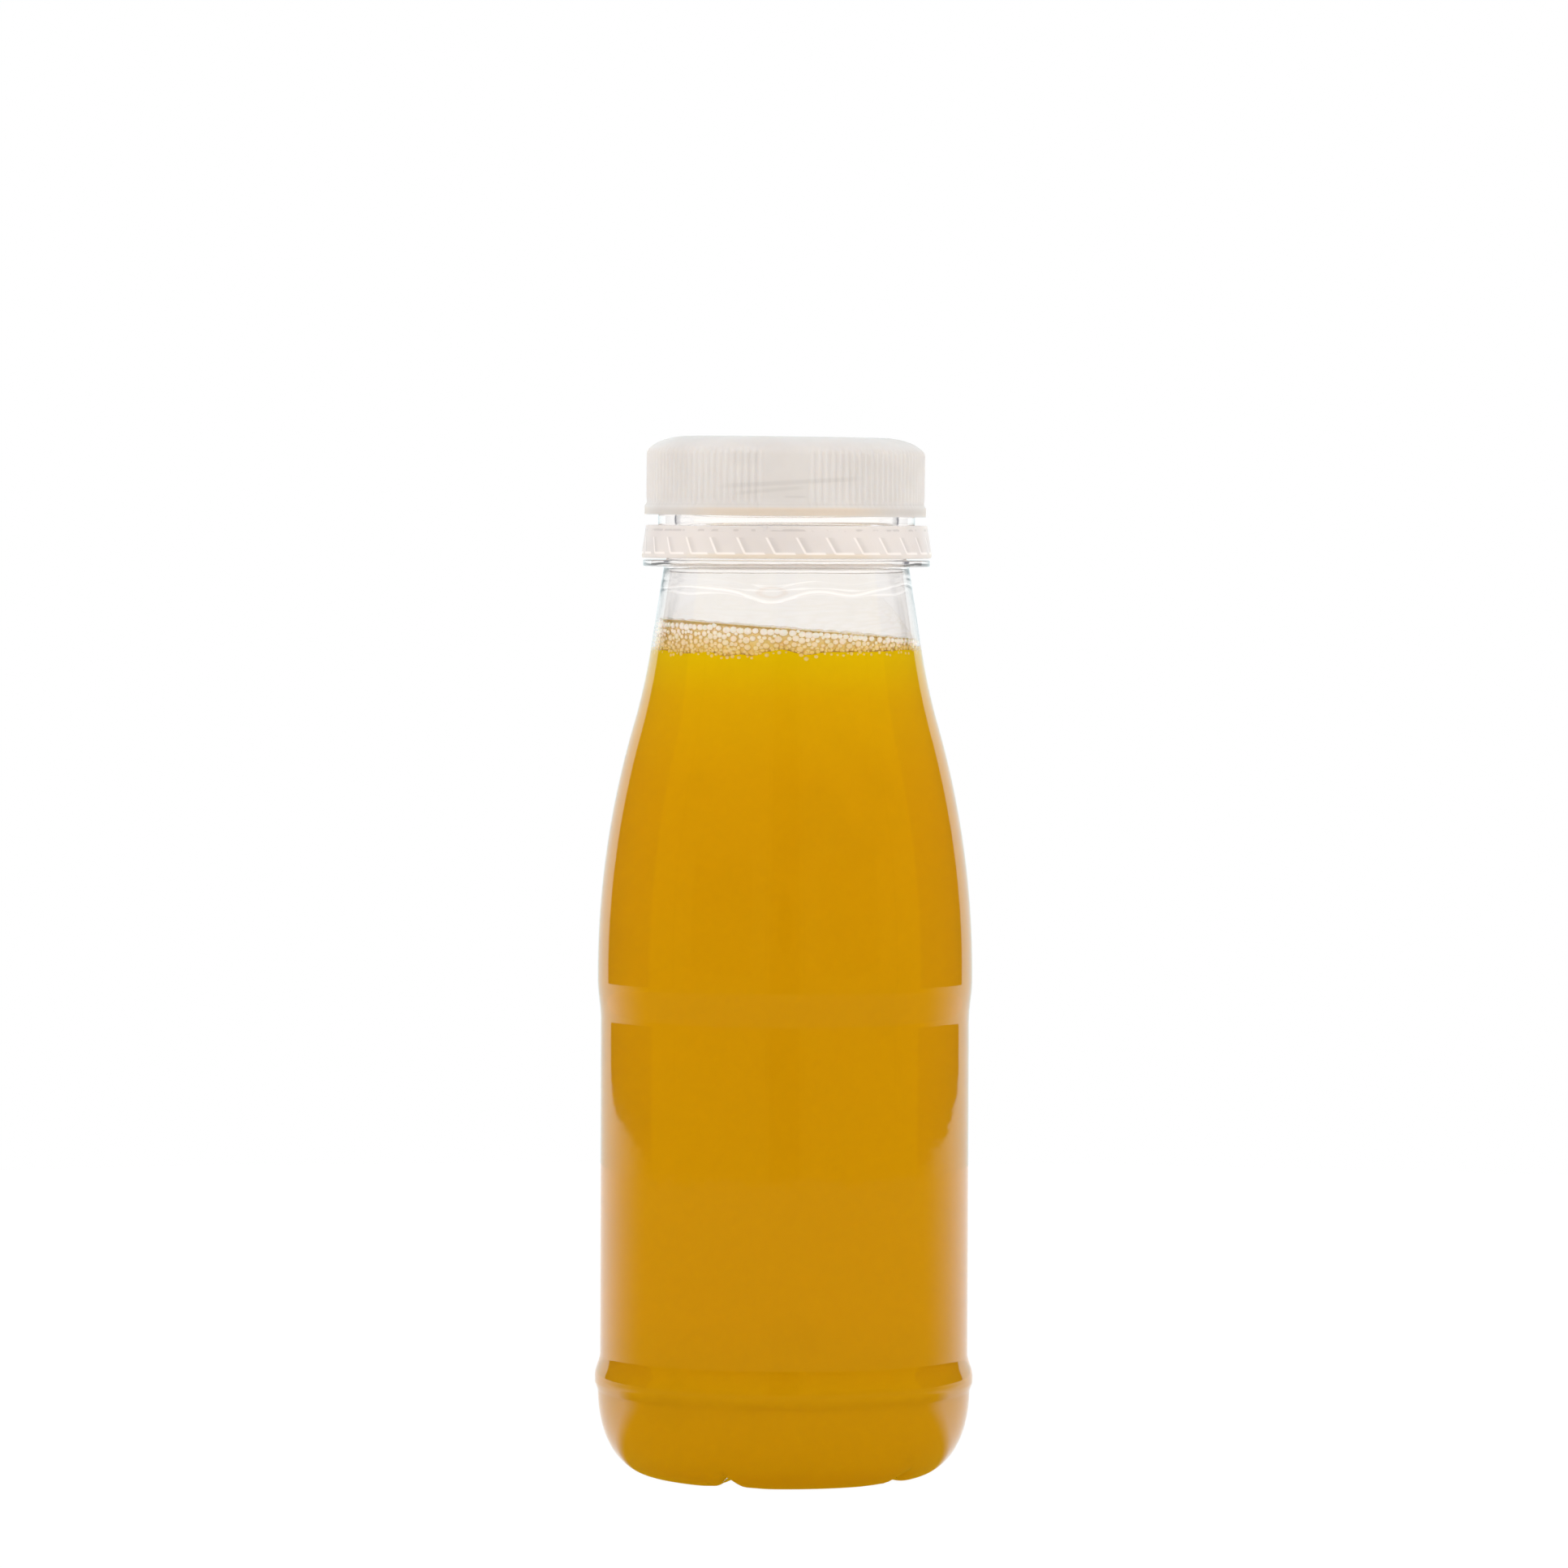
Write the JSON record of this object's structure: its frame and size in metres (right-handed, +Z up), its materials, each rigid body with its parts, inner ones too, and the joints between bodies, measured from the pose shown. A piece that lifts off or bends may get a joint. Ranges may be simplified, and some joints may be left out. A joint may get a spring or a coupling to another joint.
{
  "type": "plastic juice bottle",
  "caption": "Clear plastic bottle of orange juice with froth, a milky ribbed screw cap and the loose tamper ring left on its neck.",
  "frame": {"origin": "on the bottle's axis, at the height of the surface that its feet stand on", "axes": "+Z up along the bottle's axis, -Y towards the side that the picture shows, +X to the right of it"},
  "size_m": [0.0558, 0.0558, 0.1532],
  "materials": {
    "clear_plastic": "clear, glossy blown plastic",
    "milky_cap_plastic": "milky, see-through in thin places, soft gloss",
    "milky_ring_plastic": "thin milky plastic, soft gloss",
    "orange_juice": "cloudy yellow-orange liquid",
    "juice_froth": "wet pale bubbles"
  },
  "bodies": {
    "root": {"bottle": "clear_plastic", "cap": "milky_cap_plastic", "tamper_ring": "milky_ring_plastic", "juice": "orange_juice", "foam": "juice_froth"}
  },
  "joints": []
}
